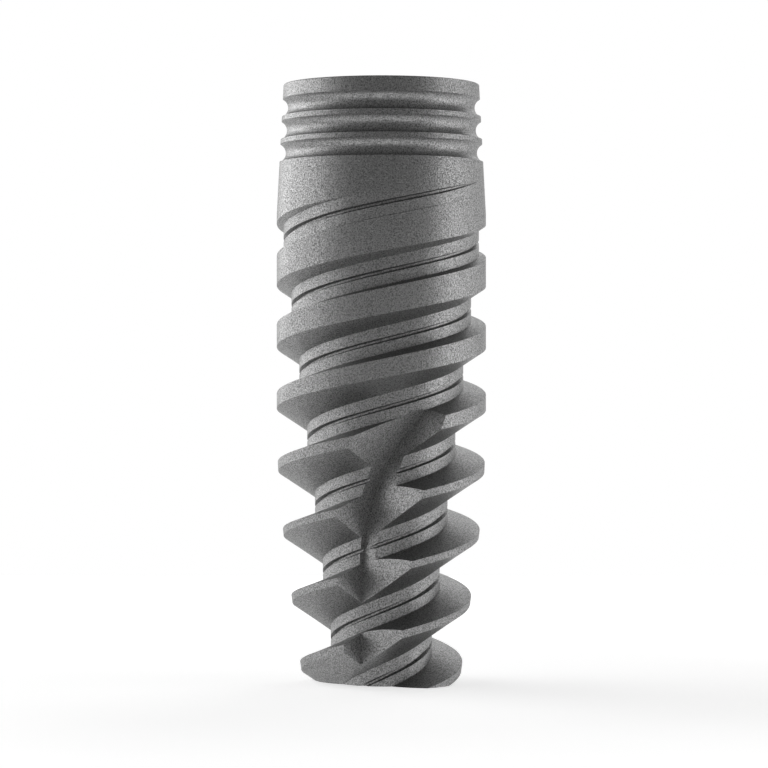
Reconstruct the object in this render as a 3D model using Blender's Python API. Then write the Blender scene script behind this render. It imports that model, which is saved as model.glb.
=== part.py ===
# A tapered dental implant in one piece of titanium, standing on its apex.
# It is turned to a blank, then two helical thread grooves, two flutes and
# the internal connection are milled into it. Metres, +Z towards the platform.

import math

import bmesh
import bpy
from mathutils import Vector
from mathutils.geometry import interpolate_bezier

MM = 0.001

# Turned blank
IMPLANT_LENGTH = 11.42 * MM
PLATFORM_DIAMETER = 3.74 * MM
BODY_DIAMETER = 4.0 * MM
APEX_DIAMETER = 3.0 * MM
COLLAR_LENGTH = 2.48 * MM
STRAIGHT_END_HEIGHT = 5.12 * MM
TAPER_START_HEIGHT = 2.41 * MM
RIM_BREAK = 0.015 * MM

# Rings turned round the collar
COLLAR_GROOVES = 3
RIM_HEIGHT = 0.275 * MM
COLLAR_GROOVE_WIDTH = 0.337 * MM
COLLAR_GROOVE_DEPTH = 0.098 * MM
COLLAR_LAND = 0.095 * MM

# Two-start thread, right-handed
THREAD_STARTS = 2
THREAD_LEAD = 2.54 * MM
THREAD_PHASE = math.radians(67.2)
THREAD_DEPTH_AT_APEX = 0.628 * MM
THREAD_DEPTH_AT_RUNOUT = 0.10 * MM
RUNOUT_BELOW_PLATFORM = 2.725 * MM
RUNOUT_ANGLE = math.radians(20.0)
RUNOUT_SKIM = 0.018 * MM
THREAD_END_BELOW_PLATFORM = 1.86 * MM
ROOT_WIDTH = 0.506 * MM
UPPER_GROOVE_FLANK = math.radians(32.0)
LOWER_GROOVE_FLANK = math.radians(15.0)
MICRO_GROOVE_WIDTH = 0.092 * MM
MICRO_GROOVE_FLOOR = 0.030 * MM
MICRO_GROOVE_DEPTH = 0.055 * MM
MICRO_GROOVE_FADE = 0.25 * MM
MICRO_GROOVE_LEAST = 0.1

# Flutes: a V cutter runs up beside the axis, then turns out of the body
FLUTES = 2
FLUTE_V_ANGLE = math.radians(92.0)
FLUTE_FACING_AT_APEX = math.radians(-81.4)
FLUTE_FACING_AT_EXIT = math.radians(-90.7)
FLUTE_ANGLE = math.radians(-110.0)
FLUTE_ROOT_RADIUS = 1.10 * MM
FLUTE_STRAIGHT_HEIGHT = 3.41 * MM
FLUTE_BEND_ANGLE = math.radians(-114.7)
FLUTE_BEND_RADIUS = 0.985 * MM
FLUTE_BEND_HEIGHT = 4.08 * MM
FLUTE_EXIT_ANGLE = math.radians(-43.2)
FLUTE_EXIT_HEIGHT = 5.90 * MM

# Internal connection
BEVEL_DIAMETER = 3.35 * MM
HEX_ACROSS_FLATS = 2.42 * MM
HEX_DEPTH = 1.60 * MM
SCREW_BORE_DIAMETER = 1.60 * MM
SCREW_BORE_DEPTH = 5.40 * MM
SCREW_BORE_CHAMFER = 0.12 * MM
DRILL_POINT_ANGLE = math.radians(118.0)

# How far a cutter runs past the surface that it cuts
OVERCUT = 0.1 * MM

TURN_STEPS = 40
COLLAR_GROOVE_STEPS = 6
BLEND_STEPS = 4
FLUTE_STEPS = 20

BODY_RADIUS = BODY_DIAMETER / 2
PLATFORM_RADIUS = PLATFORM_DIAMETER / 2
APEX_RADIUS = APEX_DIAMETER / 2
SCREW_BORE_RADIUS = SCREW_BORE_DIAMETER / 2
CUTTER_RADIUS = BODY_RADIUS + OVERCUT


def clear_scene():
    for old in list(bpy.data.objects):
        bpy.data.objects.remove(old, do_unlink=True)


def titanium():
    material = bpy.data.materials.new("blasted_titanium")
    material.use_nodes = True
    surface = material.node_tree.nodes["Principled BSDF"]
    surface.inputs["Base Color"].default_value = (0.38, 0.38, 0.385, 1.0)
    surface.inputs["Metallic"].default_value = 0.85
    surface.inputs["Roughness"].default_value = 0.48
    return material


def at_angle(radius, angle, height):
    return Vector((radius * math.cos(angle), radius * math.sin(angle), height))


def add_object(name, bm):
    bmesh.ops.recalc_face_normals(bm, faces=bm.faces)
    mesh = bpy.data.meshes.new(name)
    bm.to_mesh(mesh)
    bm.free()
    made = bpy.data.objects.new(name, mesh)
    bpy.context.collection.objects.link(made)
    return made


def collar_radius(depth):
    # The collar widens as a straight cone from the platform to the body.
    return PLATFORM_RADIUS + (BODY_RADIUS - PLATFORM_RADIUS) * depth / COLLAR_LENGTH


def collar_groove_arc(top_depth):
    # A round groove: an arc through both of its edges, as deep as its sagitta.
    half = COLLAR_GROOVE_WIDTH / 2
    arc_radius = (half**2 + COLLAR_GROOVE_DEPTH**2) / (2 * COLLAR_GROOVE_DEPTH)
    reach = math.asin(half / arc_radius)
    points = []
    for step in range(COLLAR_GROOVE_STEPS + 1):
        turn = reach * (2 * step / COLLAR_GROOVE_STEPS - 1)
        depth = top_depth + half + arc_radius * math.sin(turn)
        sagitta = arc_radius * (math.cos(turn) - math.cos(reach))
        points.append((collar_radius(depth) - sagitta, IMPLANT_LENGTH - depth))
    return points


def body_blend():
    # The body leaves its straight part along a parabola and ends as a cone.
    blend = STRAIGHT_END_HEIGHT - TAPER_START_HEIGHT
    slope = (BODY_RADIUS - APEX_RADIUS) / (TAPER_START_HEIGHT + blend / 2)
    points = []
    for step in range(BLEND_STEPS + 1):
        fall = blend * step / BLEND_STEPS
        radius = BODY_RADIUS - slope * fall**2 / (2 * blend)
        points.append((radius, STRAIGHT_END_HEIGHT - fall))
    return points


def blank_profile():
    # Radius and height, from the drill point up the bore, over the platform
    # and down the outside to the apex face.
    hex_floor = IMPLANT_LENGTH - HEX_DEPTH
    bore_end = IMPLANT_LENGTH - SCREW_BORE_DEPTH
    mouth_radius = SCREW_BORE_RADIUS + SCREW_BORE_CHAMFER
    bevel_radius = BEVEL_DIAMETER / 2
    profile = [
        (0.0, bore_end - SCREW_BORE_RADIUS / math.tan(DRILL_POINT_ANGLE / 2)),
        (SCREW_BORE_RADIUS, bore_end),
        (SCREW_BORE_RADIUS, hex_floor - SCREW_BORE_CHAMFER),
        (mouth_radius, hex_floor),
        (mouth_radius, IMPLANT_LENGTH - bevel_radius + mouth_radius),
        (bevel_radius, IMPLANT_LENGTH),
        (PLATFORM_RADIUS - RIM_BREAK, IMPLANT_LENGTH),
        (collar_radius(RIM_BREAK), IMPLANT_LENGTH - RIM_BREAK),
    ]
    for groove in range(COLLAR_GROOVES):
        spacing = COLLAR_GROOVE_WIDTH + COLLAR_LAND
        profile += collar_groove_arc(RIM_HEIGHT + groove * spacing)
    profile.append((BODY_RADIUS, IMPLANT_LENGTH - COLLAR_LENGTH))
    profile += body_blend()
    profile.append((APEX_RADIUS, 0.0))
    return profile


def turned_blank(material):
    # Half a step of turn keeps the facet edges clear of the thread cutters'.
    bm = bmesh.new()
    start = math.pi / TURN_STEPS
    points = [bm.verts.new(at_angle(r, start, z)) for r, z in blank_profile()]
    edges = [bm.edges.new(pair) for pair in zip(points, points[1:])]
    bmesh.ops.spin(
        bm,
        geom=points + edges,
        cent=(0.0, 0.0, 0.0),
        axis=(0.0, 0.0, 1.0),
        angle=2 * math.pi,
        steps=TURN_STEPS,
        use_merge=True,
    )
    bmesh.ops.remove_doubles(bm, verts=bm.verts, dist=MM / 100000)
    apex_edges = [edge for edge in bm.edges if edge.is_boundary]
    bmesh.ops.contextual_create(bm, geom=apex_edges)
    blank = add_object("implant_body", bm)
    blank.data.materials.append(material)
    return blank


def swept_cutter(name, sections):
    # A closed solid through a row of sections, hidden, for cutting only. Its
    # faces are triangles, so that the twisted ones stay flat where they cut. The
    # end faces fan out from a middle point, so that none of theirs is a sliver.
    bm = bmesh.new()
    rings = [[bm.verts.new(point) for point in section] for section in sections]
    for ring, following in zip(rings, rings[1:]):
        for here in range(len(ring)):
            after = (here + 1) % len(ring)
            bm.faces.new((ring[here], ring[after], following[after], following[here]))
    ends = [bm.faces.new(rings[0]), bm.faces.new(rings[-1])]
    bmesh.ops.poke(bm, faces=ends)
    bmesh.ops.triangulate(bm, faces=bm.faces)
    cutter = add_object(name, bm)
    cutter.hide_render = True
    cutter.display_type = "WIRE"
    return cutter


def core_radius(height):
    # The thread roots lie on a cone from the apex to the run-out. Above it they
    # rise steeply and then skim the body, just under its surface.
    apex_radius = APEX_RADIUS - THREAD_DEPTH_AT_APEX
    runout_radius = BODY_RADIUS - THREAD_DEPTH_AT_RUNOUT
    runout_height = IMPLANT_LENGTH - RUNOUT_BELOW_PLATFORM
    if height < runout_height:
        return apex_radius + (runout_radius - apex_radius) * height / runout_height
    risen = runout_radius + (height - runout_height) * math.tan(RUNOUT_ANGLE)
    return min(risen, BODY_RADIUS - RUNOUT_SKIM)


def micro_groove_share(below_end):
    # The micro-groove narrows and rises towards its upper end.
    run = min(below_end / MICRO_GROOVE_FADE, 1.0)
    return MICRO_GROOVE_LEAST + (1.0 - MICRO_GROOVE_LEAST) * run


def thread_section(angle, height, share):
    # One axial section of a thread groove: its flat root is parallel to the
    # axis, with the micro-groove along its middle, and its flanks open outwards.
    root = core_radius(height)
    floor = root - MICRO_GROOVE_DEPTH * share
    half_mouth = MICRO_GROOVE_WIDTH / 2 * share
    half_floor = MICRO_GROOVE_FLOOR / 2 * share
    rise = CUTTER_RADIUS - root
    upper = ROOT_WIDTH / 2 + rise * math.tan(UPPER_GROOVE_FLANK)
    lower = ROOT_WIDTH / 2 + rise * math.tan(LOWER_GROOVE_FLANK)
    outline = [
        (CUTTER_RADIUS, upper),
        (root, ROOT_WIDTH / 2),
        (root, half_mouth),
        (floor, half_floor),
        (floor, -half_floor),
        (root, -half_mouth),
        (root, -ROOT_WIDTH / 2),
        (CUTTER_RADIUS, -lower),
    ]
    return [at_angle(radius, angle, height + offset) for radius, offset in outline]


def thread_cutter(start):
    # The groove's middle rises by one lead a turn, from wholly below the apex
    # face to its end in the collar.
    top = IMPLANT_LENGTH - THREAD_END_BELOW_PLATFORM
    deepest = CUTTER_RADIUS * math.tan(UPPER_GROOVE_FLANK)
    bottom = -(ROOT_WIDTH / 2 + deepest + OVERCUT)
    steps = math.ceil((top - bottom) / THREAD_LEAD * TURN_STEPS)
    phase = THREAD_PHASE + 2 * math.pi * start / THREAD_STARTS
    sections = []
    for step in range(steps + 1):
        height = top - THREAD_LEAD * step / TURN_STEPS
        angle = phase + 2 * math.pi * height / THREAD_LEAD
        share = micro_groove_share(top - height)
        sections.append(thread_section(angle, height, share))
    return swept_cutter(f"thread_cutter_{start + 1}", sections)


def flute_path(turn):
    # Straight up beside the axis, then bending round and out of the body.
    below = -OVERCUT
    knots = [
        at_angle(FLUTE_ROOT_RADIUS, FLUTE_ANGLE + turn, below),
        at_angle(FLUTE_ROOT_RADIUS, FLUTE_ANGLE + turn, FLUTE_STRAIGHT_HEIGHT),
        at_angle(FLUTE_BEND_RADIUS, FLUTE_BEND_ANGLE + turn, FLUTE_BEND_HEIGHT),
        at_angle(CUTTER_RADIUS, FLUTE_EXIT_ANGLE + turn, FLUTE_EXIT_HEIGHT),
    ]
    return interpolate_bezier(*knots, FLUTE_STEPS + 1)


def flute_cutter(flute):
    # A V whose point follows the path, opened out past the body.
    turn = 2 * math.pi * flute / FLUTES
    path = flute_path(turn)
    twist = (FLUTE_FACING_AT_EXIT - FLUTE_FACING_AT_APEX) / FLUTE_STEPS
    reach = CUTTER_RADIUS - FLUTE_BEND_RADIUS + OVERCUT
    half_width = reach * math.tan(FLUTE_V_ANGLE / 2)
    sections = []
    for step, point in enumerate(path):
        behind = path[max(step - 1, 0)]
        ahead = path[min(step + 1, FLUTE_STEPS)]
        along = (ahead - behind).normalized()
        facing = at_angle(1.0, FLUTE_FACING_AT_APEX + twist * step + turn, 0.0)
        out = (facing - along * facing.dot(along)).normalized()
        side = along.cross(out)
        sections.append(
            [
                point,
                point + out * reach + side * half_width,
                point + out * reach - side * half_width,
            ]
        )
    return swept_cutter(f"flute_cutter_{flute + 1}", sections)


def hex_cutter():
    corner = HEX_ACROSS_FLATS / 2 / math.cos(math.pi / 6)
    floor = IMPLANT_LENGTH - HEX_DEPTH
    heights = (floor, IMPLANT_LENGTH + OVERCUT)
    sections = [
        [at_angle(corner, side * math.pi / 3, height) for side in range(6)]
        for height in heights
    ]
    return swept_cutter("hex_cutter", sections)


def cut(body, cutter):
    modifier = body.modifiers.new(cutter.name, "BOOLEAN")
    modifier.operation = "DIFFERENCE"
    modifier.solver = "EXACT"
    modifier.object = cutter


def main():
    clear_scene()
    body = turned_blank(titanium())
    for start in range(THREAD_STARTS):
        cut(body, thread_cutter(start))
    for flute in range(FLUTES):
        cut(body, flute_cutter(flute))
    cut(body, hex_cutter())
    body.data.shade_smooth()
    body.data.set_sharp_from_angle(angle=math.radians(25))


main()
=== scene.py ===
# A dental implant in grit-blasted titanium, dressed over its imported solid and
# shown on a pale floor in soft studio light. Lengths in the settings are in
# millimetres, angles in degrees, until a finished mesh is scaled to metres.

import math

import bmesh
import bpy
import numpy as np
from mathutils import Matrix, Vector


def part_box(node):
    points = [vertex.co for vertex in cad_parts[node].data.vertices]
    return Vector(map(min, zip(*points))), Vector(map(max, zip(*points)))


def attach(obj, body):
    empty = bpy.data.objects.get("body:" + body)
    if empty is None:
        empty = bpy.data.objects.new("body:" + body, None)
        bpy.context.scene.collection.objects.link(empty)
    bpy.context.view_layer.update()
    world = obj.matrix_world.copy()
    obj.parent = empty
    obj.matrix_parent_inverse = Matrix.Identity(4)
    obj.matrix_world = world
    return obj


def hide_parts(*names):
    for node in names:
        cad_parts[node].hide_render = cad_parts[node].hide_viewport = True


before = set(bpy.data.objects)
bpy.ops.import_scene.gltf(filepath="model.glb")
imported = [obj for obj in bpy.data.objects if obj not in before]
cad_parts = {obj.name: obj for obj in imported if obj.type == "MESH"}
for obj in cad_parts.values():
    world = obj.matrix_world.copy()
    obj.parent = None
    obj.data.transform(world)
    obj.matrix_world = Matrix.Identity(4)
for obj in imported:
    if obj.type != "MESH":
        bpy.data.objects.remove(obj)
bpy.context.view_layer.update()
bodyLow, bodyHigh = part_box("implant_body")

millimetre = 0.001
implantLength = (bodyHigh.z - bodyLow.z) / millimetre
scene = bpy.context.scene


# Meshes from numpy grids

joining = {
    "sameCorner": 1e-6,  # corners closer than this become one
    "sliver": 1e-7,  # edges shorter than this go
}


def polar(radius, angle, height):
    # (r cos a, r sin a, h), whole arrays at once
    return np.stack([radius * np.cos(angle), radius * np.sin(angle), height + 0 * angle], axis=-1)


def gridFaces(rows, columns, wrapRows=False, wrapColumns=False):
    # Corner (i, j) has index i * columns + j; each face joins (i, j), (i, j+1), (i+1, j+1), (i+1, j)
    i, j = np.meshgrid(
        np.arange(rows if wrapRows else rows - 1),
        np.arange(columns if wrapColumns else columns - 1),
        indexing="ij",
    )
    i, j = i.ravel(), j.ravel()
    nextI, nextJ = (i + 1) % rows, (j + 1) % columns
    return np.stack(
        [i * columns + j, i * columns + nextJ, nextI * columns + nextJ, nextI * columns + j], axis=-1
    )


def meshObject(name, points, faceSets):
    # One object from points of shape (n, 3) and arrays of faces, with its normals turned outwards
    mesh = bpy.data.meshes.new(name)
    faces = [face for faceSet in faceSets for face in faceSet.tolist()]
    mesh.from_pydata(points.reshape(-1, 3).tolist(), [], faces)
    bm = bmesh.new()
    bm.from_mesh(mesh)
    bmesh.ops.remove_doubles(bm, verts=bm.verts, dist=joining["sameCorner"])
    bmesh.ops.dissolve_degenerate(bm, edges=bm.edges, dist=joining["sliver"])
    bmesh.ops.triangulate(bm, faces=bm.faces)
    bmesh.ops.recalc_face_normals(bm, faces=bm.faces)
    bm.to_mesh(mesh)
    bm.free()
    made = bpy.data.objects.new(name, mesh)
    scene.collection.objects.link(made)
    return made


def sweptSolid(name, sections):
    # A closed solid through sections of shape (steps, corners, 3); each end fans out from its middle
    steps, corners = sections.shape[:2]
    ends = sections[[0, -1]].mean(axis=1)
    points = np.concatenate([sections.reshape(-1, 3), ends])
    around = np.arange(corners)
    following = (around + 1) % corners
    fans = []
    for middle, ring in ((steps * corners, 0), (steps * corners + 1, (steps - 1) * corners)):
        fans.append(np.stack([ring + around, ring + following, np.full(corners, middle)], axis=-1))
    return meshObject(name, points, [gridFaces(steps, corners, wrapColumns=True), *fans])


# The turned blank

blank = {
    "turnSteps": 240,
    "bodyRadius": 2.0,
    "platformRadius": 1.87,
    "apexRadius": 1.5,
    "collarLength": 2.48,
    "straightEndHeight": 5.12,
    "taperStartHeight": 2.41,
    "blendSteps": 14,
    "rimBreak": 0.015,
    "rimHeight": 0.275,
    "grooveCount": 3,
    "grooveWidth": 0.337,
    "grooveDepth": 0.098,
    "grooveSteps": 15,
    "grooveLedge": 0.024,
    "ledgeFall": 0.002,
    "landWidth": 0.095,
    "bevelRadius": 1.675,
    "boreRadius": 0.80,
    "boreDepth": 5.40,
    "boreChamfer": 0.12,
    "socketDepth": 1.60,
    "drillPointAngle": 118.0,
}


def envelopeRadius(height):
    # The body's radius less slope * fall^2 / (2 * blend) down a parabola, then a cone to the apex;
    # above, the collar is a cone up to the platform's radius, and the smaller radius counts
    blend = blank["straightEndHeight"] - blank["taperStartHeight"]
    slope = (blank["bodyRadius"] - blank["apexRadius"]) / (blank["taperStartHeight"] + blend / 2)
    fall = np.clip(blank["straightEndHeight"] - height, 0, None)
    curved = np.minimum(fall, blend)
    tapered = blank["bodyRadius"] - slope * curved**2 / (2 * blend) - slope * (fall - curved)
    share = np.clip((implantLength - height) / blank["collarLength"], 0, 1)
    collar = blank["platformRadius"] + (blank["bodyRadius"] - blank["platformRadius"]) * share
    return np.minimum(tapered, collar)


def collarGroove(topDepth):
    # An arc through both edges of the groove, its sagitta being the depth, laid on the collar's cone;
    # it leans inwards by the ledge's width towards its foot, where the ledge steps out to the land
    half = blank["grooveWidth"] / 2
    radius = (half**2 + blank["grooveDepth"] ** 2) / (2 * blank["grooveDepth"])
    reach = math.asin(half / radius)
    turn = np.linspace(-reach, reach, blank["grooveSteps"])
    height = implantLength - (topDepth + half + radius * np.sin(turn))
    sagitta = radius * (np.cos(turn) - np.cos(reach))
    lean = blank["grooveLedge"] * np.linspace(0, 1, blank["grooveSteps"])
    arc = np.stack([envelopeRadius(height) - sagitta - lean, height], axis=-1)
    edge = height[-1] - blank["ledgeFall"]
    return np.concatenate([arc, [(float(envelopeRadius(edge)), edge)]])


def blankProfile():
    # Radius and height, from the drill point up the bore, over the platform and down the outside
    top = implantLength
    bore = blank["boreRadius"]
    mouth = bore + blank["boreChamfer"]
    socketFloor = top - blank["socketDepth"]
    boreEnd = top - blank["boreDepth"]
    drillDepth = bore / math.tan(math.radians(blank["drillPointAngle"] / 2))
    inside = [
        (0.0, boreEnd - drillDepth),
        (bore, boreEnd),
        (bore, socketFloor - blank["boreChamfer"]),
        (mouth, socketFloor),
        (mouth, top - blank["bevelRadius"] + mouth),
        (blank["bevelRadius"], top),
        (blank["platformRadius"] - blank["rimBreak"], top),
        (float(envelopeRadius(top - blank["rimBreak"])), top - blank["rimBreak"]),
    ]
    pitch = blank["grooveWidth"] + blank["landWidth"]
    grooves = [collarGroove(blank["rimHeight"] + n * pitch) for n in range(blank["grooveCount"])]
    collarEnd = top - blank["collarLength"]
    blendHeights = np.linspace(
        blank["straightEndHeight"], blank["taperStartHeight"], blank["blendSteps"]
    )
    outsideHeights = np.concatenate([[collarEnd], blendHeights, [0.0]])
    outside = np.stack([envelopeRadius(outsideHeights), outsideHeights], axis=-1)
    apex = np.array([(0.0, 0.0)])
    return np.concatenate([np.array(inside), *grooves, outside, apex])


def turnedBlank():
    # Profile point (r, z) carried round the axis: (r cos a, r sin a, z)
    profile = blankProfile()
    turn = (np.arange(blank["turnSteps"]) + 0.5) * 2 * np.pi / blank["turnSteps"]
    angle, row = np.meshgrid(turn, np.arange(len(profile)), indexing="ij")
    points = polar(profile[row, 0], angle, profile[row, 1])
    faces = gridFaces(blank["turnSteps"], len(profile), wrapRows=True)
    return meshObject("implantFinish", points, [faces])


# The thread

thread = {
    "starts": 2,
    "lead": 2.54,
    "phase": 67.2,
    "depthAtApex": 0.628,
    "depthAtRunout": 0.10,
    "runoutBelowPlatform": 2.725,
    "runoutAngle": 20.0,
    "runoutSkim": 0.018,
    "endBelowPlatform": 1.86,
    "rootWidth": 0.506,
    "upperFlank": 32.0,
    "lowerFlank": 15.0,
    "microWidth": 0.092,
    "microFloor": 0.036,
    "microDepth": 0.075,
    "microFade": 0.25,
    "microLeast": 0.1,
    "overcut": 0.10,
}


def coreRadius(height):
    # A cone to the run-out, then a steep rise that ends skimming under the body's surface
    apexCore = blank["apexRadius"] - thread["depthAtApex"]
    runoutCore = blank["bodyRadius"] - thread["depthAtRunout"]
    runoutHeight = implantLength - thread["runoutBelowPlatform"]
    cone = apexCore + (runoutCore - apexCore) * height / runoutHeight
    risen = runoutCore + (height - runoutHeight) * math.tan(math.radians(thread["runoutAngle"]))
    steep = np.minimum(risen, blank["bodyRadius"] - thread["runoutSkim"])
    return np.where(height < runoutHeight, cone, steep)


def threadCutter(start):
    # Section (r, dz) at angle a = phase + 2 pi z / lead, so its middle rises by one lead a turn;
    # a flank stands off the root by (outer - root) * tan(flank angle)
    outer = blank["bodyRadius"] + thread["overcut"]
    upperSlope = math.tan(math.radians(thread["upperFlank"]))
    lowerSlope = math.tan(math.radians(thread["lowerFlank"]))
    top = implantLength - thread["endBelowPlatform"]
    bottom = -(thread["rootWidth"] / 2 + outer * upperSlope + thread["overcut"])
    count = math.ceil((top - bottom) / thread["lead"] * blank["turnSteps"]) + 1
    height = top - thread["lead"] * np.arange(count) / blank["turnSteps"]
    helix = 2 * np.pi * (start / thread["starts"] + height / thread["lead"])
    angle = np.radians(thread["phase"]) + helix
    root = coreRadius(height)
    rise = outer - root
    halfRoot = np.full(count, thread["rootWidth"] / 2)

    # The micro-groove along the root runs out at its upper end
    run = np.minimum((top - height) / thread["microFade"], 1)
    share = thread["microLeast"] + (1 - thread["microLeast"]) * run
    halfMicro = thread["microWidth"] / 2 * share
    halfFloor = thread["microFloor"] / 2 * share
    floor = root - thread["microDepth"] * share

    wide = np.full(count, outer)
    outline = [
        (wide, halfRoot + rise * upperSlope),
        (root, halfRoot),
        (root, halfMicro),
        (floor, halfFloor),
        (floor, -halfFloor),
        (root, -halfMicro),
        (root, -halfRoot),
        (wide, -halfRoot - rise * lowerSlope),
    ]
    sections = np.stack([polar(r, angle, height + dz) for r, dz in outline], axis=1)
    return sweptSolid(f"threadCutter{start + 1}", sections)


# The flutes

flute = {
    "count": 2,
    "vAngle": 92.0,
    "facingAtApex": -81.4,
    "facingAtExit": -90.7,
    "angle": -110.0,
    "rootRadius": 1.10,
    "straightHeight": 3.41,
    "bendAngle": -114.7,
    "bendRadius": 0.985,
    "bendHeight": 4.08,
    "exitAngle": -43.2,
    "exitHeight": 5.90,
    "steps": 60,
    "overcut": 0.10,
}


def unit(vectors):
    # Each vector over its own length
    return vectors / np.linalg.norm(vectors, axis=-1, keepdims=True)


def fluteCutter(number):
    # A V carried along the Bezier b(t) = sum of C(3, k) (1-t)^(3-k) t^k knot k; its mouth opens
    # along the facing, less the part of that which runs along the path
    turn = 2 * np.pi * number / flute["count"]
    outer = blank["bodyRadius"] + flute["overcut"]
    knots = np.array(
        [
            (flute["rootRadius"], flute["angle"], -flute["overcut"]),
            (flute["rootRadius"], flute["angle"], flute["straightHeight"]),
            (flute["bendRadius"], flute["bendAngle"], flute["bendHeight"]),
            (outer, flute["exitAngle"], flute["exitHeight"]),
        ]
    )
    knots = polar(knots[:, 0], np.radians(knots[:, 1]) + turn, knots[:, 2])
    t = np.linspace(0, 1, flute["steps"] + 1)[:, None]
    weights = np.concatenate([(1 - t) ** 3, 3 * (1 - t) ** 2 * t, 3 * (1 - t) * t**2, t**3], axis=1)
    path = weights @ knots
    along = unit(np.gradient(path, axis=0))
    swing = flute["facingAtExit"] - flute["facingAtApex"]
    facingAngle = np.radians(flute["facingAtApex"] + swing * t[:, 0])
    facing = polar(np.ones(len(path)), facingAngle + turn, np.zeros(len(path)))
    out = unit(facing - along * (along * facing).sum(axis=1, keepdims=True))
    side = np.cross(along, out)
    reach = outer - flute["bendRadius"] + flute["overcut"]
    half = reach * math.tan(math.radians(flute["vAngle"] / 2))
    mouth = path + out * reach
    sections = np.stack([path, mouth + side * half, mouth - side * half], axis=1)
    return sweptSolid(f"fluteCutter{number + 1}", sections)


# The connection inside the platform

socket = {
    "sides": 6,
    "acrossFlats": 2.42,
    "overcut": 0.10,
    "screwPitch": 0.35,
    "screwDepth": 0.15,
    "screwTopDepth": 2.05,
    "screwBottomDepth": 4.95,
    "screwCrest": 0.09,
    "screwAngle": 60.0,
    "screwLeast": 0.05,
    "screwSteps": 72,
}


def hexCutter():
    # Corners at across flats / 2 / cos(pi / sides), from the socket floor up past the platform
    corner = socket["acrossFlats"] / 2 / math.cos(math.pi / socket["sides"])
    turn = 2 * np.pi * np.arange(socket["sides"]) / socket["sides"]
    heights = np.array([implantLength - blank["socketDepth"], implantLength + socket["overcut"]])
    angle, height = np.meshgrid(turn, heights)
    return sweptSolid("hexCutter", polar(np.full(angle.shape, corner), angle, height))


def screwCutter():
    # A V groove on the helix z = top - pitch * a / 2 pi, which fades in and out over a turn
    top = implantLength - socket["screwTopDepth"]
    turns = (socket["screwBottomDepth"] - socket["screwTopDepth"]) / socket["screwPitch"]
    count = int(turns * socket["screwSteps"]) + 1
    angle = 2 * np.pi * np.arange(count) / socket["screwSteps"]
    height = top - socket["screwPitch"] * angle / (2 * np.pi)
    fade = np.clip(np.minimum(angle, angle[::-1]) / (2 * np.pi), socket["screwLeast"], 1)
    inner = np.full(count, blank["boreRadius"] - socket["overcut"] / 2)
    deep = blank["boreRadius"] + socket["screwDepth"] * fade
    slope = math.tan(math.radians(socket["screwAngle"] / 2))
    wide = (deep - inner) * slope + socket["screwCrest"] / 2
    narrow = np.full(count, socket["screwCrest"] / 2)
    outline = [(inner, wide), (deep, narrow), (deep, -narrow), (inner, -wide)]
    sections = np.stack([polar(r, angle, height + dz) for r, dz in outline], axis=1)
    return sweptSolid("screwCutter", sections)


# Cutting and finishing

finish = {"sharpAngle": 24.0}


def cutAway(body, cutters):
    # The body less every cutter, kept as a plain mesh
    for cutter in cutters:
        modifier = body.modifiers.new(cutter.name, "BOOLEAN")
        modifier.operation = "DIFFERENCE"
        modifier.solver = "MANIFOLD"
        modifier.object = cutter
    bpy.context.view_layer.update()
    cutBody = body.evaluated_get(bpy.context.evaluated_depsgraph_get())
    cutMesh = bpy.data.meshes.new_from_object(cutBody)
    body.modifiers.clear()
    body.data = cutMesh
    for cutter in cutters:
        bpy.data.objects.remove(cutter, do_unlink=True)


def implantFinish():
    # The blank less thread, flutes, hexagon and screw thread, scaled to metres and smooth between
    # its sharp edges
    body = turnedBlank()
    cutters = [threadCutter(start) for start in range(thread["starts"])]
    cutters += [fluteCutter(number) for number in range(flute["count"])]
    cutters += [hexCutter(), screwCutter()]
    cutAway(body, cutters)
    mesh = body.data
    points = np.empty(len(mesh.vertices) * 3)
    mesh.vertices.foreach_get("co", points)
    mesh.vertices.foreach_set("co", points * millimetre)
    mesh.shade_smooth()
    mesh.set_sharp_from_angle(angle=math.radians(finish["sharpAngle"]))
    mesh.update()
    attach(body, "root")
    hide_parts("implant_body")
    return body


implant = implantFinish()
print("implant:", len(implant.data.polygons), "faces")


# Blasted titanium

titanium = {
    "colour": (0.28, 0.28, 0.28),
    "metallic": 1.0,
    "dullRoughness": 0.54,
    "brightRoughness": 0.32,
    "edgeTint": (0.77, 0.77, 0.77),
    "grainSize": 0.025,
    "grainDetail": 2.0,
    "grainRoughness": 0.6,
    "grainLow": 0.3,
    "grainHigh": 0.7,
    "grainContrast": 0.66,
    "bumpDepth": 0.006,
}


def remapped(nodes, links, value, fromRange, toRange):
    # A straight line from one range onto the other, held at both ends
    line = nodes.new("ShaderNodeMapRange")
    for entry, number in zip(("From Min", "From Max", "To Min", "To Max"), (*fromRange, *toRange)):
        line.inputs[entry].default_value = number
    links.new(value, line.inputs["Value"])
    return line.outputs["Result"]


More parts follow.
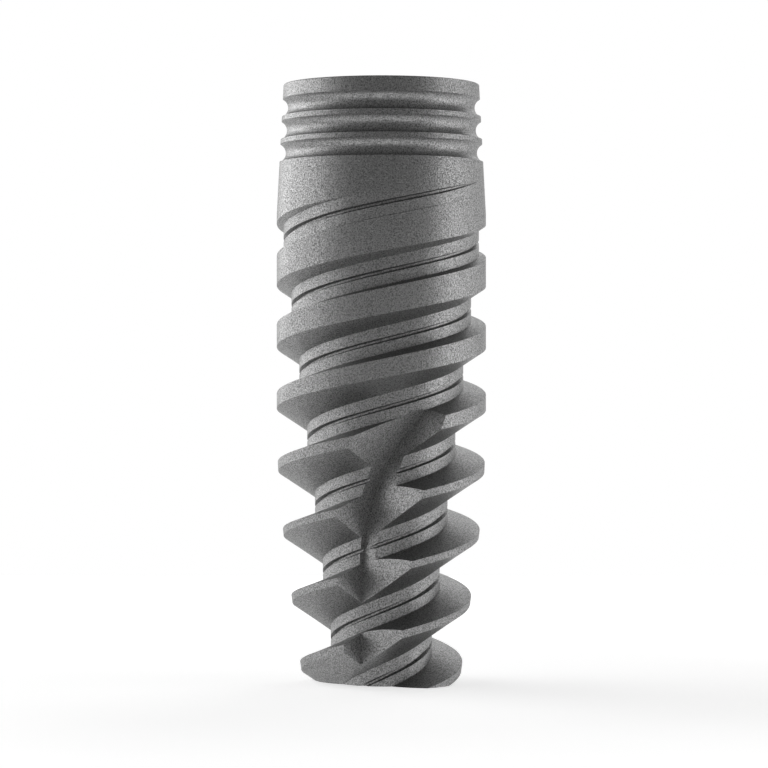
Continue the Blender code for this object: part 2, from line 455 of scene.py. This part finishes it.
def blastedTitanium():
    # One fine noise is the grain: it scales the colour by 1 - contrast to 1 + contrast, takes the
    # roughness from dull to bright, and lifts the bump
    material = bpy.data.materials.new("blastedTitanium")
    material.use_nodes = True
    nodes, links = material.node_tree.nodes, material.node_tree.links
    shader = nodes["Principled BSDF"]
    shader.inputs["Metallic"].default_value = titanium["metallic"]
    shader.inputs["Specular Tint"].default_value = (*titanium["edgeTint"], 1)
    place = nodes.new("ShaderNodeTexCoord")
    grain = nodes.new("ShaderNodeTexNoise")
    grain.inputs["Scale"].default_value = 1 / (titanium["grainSize"] * millimetre)
    grain.inputs["Detail"].default_value = titanium["grainDetail"]
    grain.inputs["Roughness"].default_value = titanium["grainRoughness"]
    links.new(place.outputs["Object"], grain.inputs["Vector"])

    grainRange = (titanium["grainLow"], titanium["grainHigh"])
    shadeRange = (1 - titanium["grainContrast"], 1 + titanium["grainContrast"])
    shade = remapped(nodes, links, grain.outputs["Fac"], grainRange, shadeRange)
    tint = nodes.new("ShaderNodeVectorMath")
    tint.operation = "SCALE"
    tint.inputs[0].default_value = titanium["colour"]
    links.new(shade, tint.inputs["Scale"])
    links.new(tint.outputs["Vector"], shader.inputs["Base Color"])

    roughnessRange = (titanium["dullRoughness"], titanium["brightRoughness"])
    roughness = remapped(nodes, links, grain.outputs["Fac"], grainRange, roughnessRange)
    links.new(roughness, shader.inputs["Roughness"])

    bump = nodes.new("ShaderNodeBump")
    bump.inputs["Distance"].default_value = titanium["bumpDepth"] * millimetre
    links.new(grain.outputs["Fac"], bump.inputs["Height"])
    links.new(bump.outputs["Normal"], shader.inputs["Normal"])
    return material


implant.data.materials.clear()
implant.data.materials.append(blastedTitanium())
print("material: blasted titanium")


# Floor, light and background

studio = {
    "floorSize": 64.0,
    "floorColour": (0.82, 0.82, 0.82),
    "floorGlow": 0.56,
    "rimGlow": 0.80,
    "glowStart": 8.0,
    "glowEnd": 30.0,
    "roomLight": 0.25,
    "roomWhite": 1.0,
    "tentRadius": 140.0,
    "tentColour": (0.0, 0.0, 0.0),
    "tentGrey": 0.178,
    "tentBottom": -15.0,
    "tentStep": 5.0,
    "openingHalfWidth": 55.0,
    "openingTop": 30.0,
    "plainRoughness": 0.9,
    "white": (1.0, 1.0, 1.0, 1.0),
    "lampDistance": 90.0,
    # azimuth from the camera towards +X, elevation, width, height, radiance
    "lamps": {
        "rightKey": (82.0, 0.0, 28.5, 60.0, 2.6),
        "rightSide": (109.0, 0.0, 57.0, 60.0, 1.15),
        "rightHigh": (75.0, 35.0, 45.0, 45.0, 0.35),
        "backHigh": (155.0, 35.0, 45.0, 45.0, 1.5),
        "leftFront": (-64.0, 14.0, 28.5, 50.0, 0.7),
        "leftKey": (-82.0, 14.0, 28.5, 50.0, 1.9),
        "leftSide": (-109.0, 14.0, 57.0, 50.0, 1.8),
        "leftBack": (-136.0, 14.0, 28.5, 50.0, 2.9),
        "leftHigh": (-115.0, 35.0, 45.0, 45.0, 1.5),
    },
}


def whiteWhereSeen(nodes, links):
    # 1 for rays from the camera, from gloss and through glass, 0 for the rest
    rays = nodes.new("ShaderNodeLightPath")
    seen = rays.outputs["Is Camera Ray"]
    for kind in ("Is Glossy Ray", "Is Transmission Ray"):
        either = nodes.new("ShaderNodeMath")
        either.operation = "MAXIMUM"
        links.new(seen, either.inputs[0])
        links.new(rays.outputs[kind], either.inputs[1])
        seen = either.outputs["Value"]
    return seen


def plainMaterial(name, colour, glow):
    # One matt colour that also shines by itself, glow being its radiance
    material = bpy.data.materials.new(name)
    material.use_nodes = True
    shader = material.node_tree.nodes["Principled BSDF"]
    shader.inputs["Base Color"].default_value = (*colour, 1)
    shader.inputs["Roughness"].default_value = studio["plainRoughness"]
    shader.inputs["Emission Color"].default_value = studio["white"]
    shader.inputs["Emission Strength"].default_value = glow
    return material


def paleFloor():
    # A square that glows more the farther from its middle, so its rim melts into the white room
    half = studio["floorSize"] / 2 * millimetre
    corners = np.array([(-half, -half, 0), (half, -half, 0), (half, half, 0), (-half, half, 0)])
    floor = meshObject("floor", corners, [np.array([[0, 1, 2, 3]])])
    material = plainMaterial("paleFloor", studio["floorColour"], studio["floorGlow"])
    nodes, links = material.node_tree.nodes, material.node_tree.links
    place = nodes.new("ShaderNodeTexCoord")
    distance = nodes.new("ShaderNodeVectorMath")
    distance.operation = "LENGTH"
    links.new(place.outputs["Object"], distance.inputs[0])
    distanceRange = (studio["glowStart"] * millimetre, studio["glowEnd"] * millimetre)
    glowRange = (studio["floorGlow"], studio["rimGlow"])
    glow = remapped(nodes, links, distance.outputs["Value"], distanceRange, glowRange)
    links.new(glow, nodes["Principled BSDF"].inputs["Emission Strength"])
    floor.data.materials.append(material)


def greyTent():
    # Dome r (cos e sin a, -cos e cos a, sin e) round the implant's middle, open low down behind it;
    # only gloss and light meet it, the camera looks through
    around = np.arange(0, 360, studio["tentStep"])
    upward = np.arange(studio["tentBottom"], 90 + studio["tentStep"], studio["tentStep"])
    azimuth, elevation = np.meshgrid(around, upward, indexing="ij")
    a, e = np.radians(azimuth), np.radians(elevation)
    points = np.stack([np.cos(e) * np.sin(a), -np.cos(e) * np.cos(a), np.sin(e)], axis=-1)
    points = points * studio["tentRadius"] + np.array([0, 0, implantLength / 2])
    faces = gridFaces(len(around), len(upward), wrapRows=True)
    behind = np.abs(azimuth.ravel() - 180)[faces].max(axis=1) <= studio["openingHalfWidth"]
    low = elevation.ravel()[faces].max(axis=1) <= studio["openingTop"]
    tent = meshObject("greyTent", points * millimetre, [faces[~(behind & low)]])
    tent.data.materials.append(plainMaterial("greyCard", studio["tentColour"], studio["tentGrey"]))
    tent.visible_camera = False


def whiteRoom():
    # The world is white where it is seen and dimmer as light
    world = bpy.data.worlds.new("room")
    scene.world = world
    world.use_nodes = True
    nodes, links = world.node_tree.nodes, world.node_tree.links
    background = nodes["Background"]
    background.inputs["Color"].default_value = studio["white"]
    lightRange = (studio["roomLight"], studio["roomWhite"])
    strength = remapped(nodes, links, whiteWhereSeen(nodes, links), (0, 1), lightRange)
    links.new(strength, background.inputs["Strength"])


def softLamps():
    # Lamps that face the implant's middle; power = radiance * pi * area
    middle = Vector((0, 0, implantLength / 2))
    for name, (azimuth, elevation, width, height, radiance) in studio["lamps"].items():
        a, e = math.radians(azimuth), math.radians(elevation)
        towards = Vector((math.sin(a) * math.cos(e), -math.cos(a) * math.cos(e), math.sin(e)))
        light = bpy.data.lights.new(name, "AREA")
        light.shape = "RECTANGLE"
        light.size = width * millimetre
        light.size_y = height * millimetre
        light.energy = radiance * math.pi * light.size * light.size_y
        lamp = bpy.data.objects.new(name, light)
        scene.collection.objects.link(lamp)
        lamp.location = (middle + towards * studio["lampDistance"]) * millimetre
        lamp.rotation_euler = (-towards).to_track_quat("-Z", "Y").to_euler()


paleFloor()
greyTent()
whiteRoom()
softLamps()
print("studio: floor, tent, room and lamps")


# The camera, level with the implant's middle

view = {
    "distance": 58.35,
    "height": 5.701,
    "sensorWidth": 36.0,
    "lens": 142.97,
    "axisOffset": 2.65,  # pixels from the implant's axis to the middle of the picture
    "pictureWidth": 768,
    "clipStart": 1.0,
    "clipEnd": 10000.0,
}


def photoCamera():
    # It stands in front on -Y and looks level along +Y; its shift is a share of the picture's width
    data = bpy.data.cameras.new("camera")
    data.sensor_width = view["sensorWidth"]
    data.lens = view["lens"]
    data.shift_x = view["axisOffset"] / view["pictureWidth"]
    data.clip_start = view["clipStart"] * millimetre
    data.clip_end = view["clipEnd"] * millimetre
    camera = bpy.data.objects.new("camera", data)
    scene.collection.objects.link(camera)
    camera.location = (0, -view["distance"] * millimetre, view["height"] * millimetre)
    camera.rotation_euler = (math.pi / 2, 0, 0)
    scene.camera = camera


photoCamera()
scene.view_settings.view_transform = "Standard"
print("camera placed")
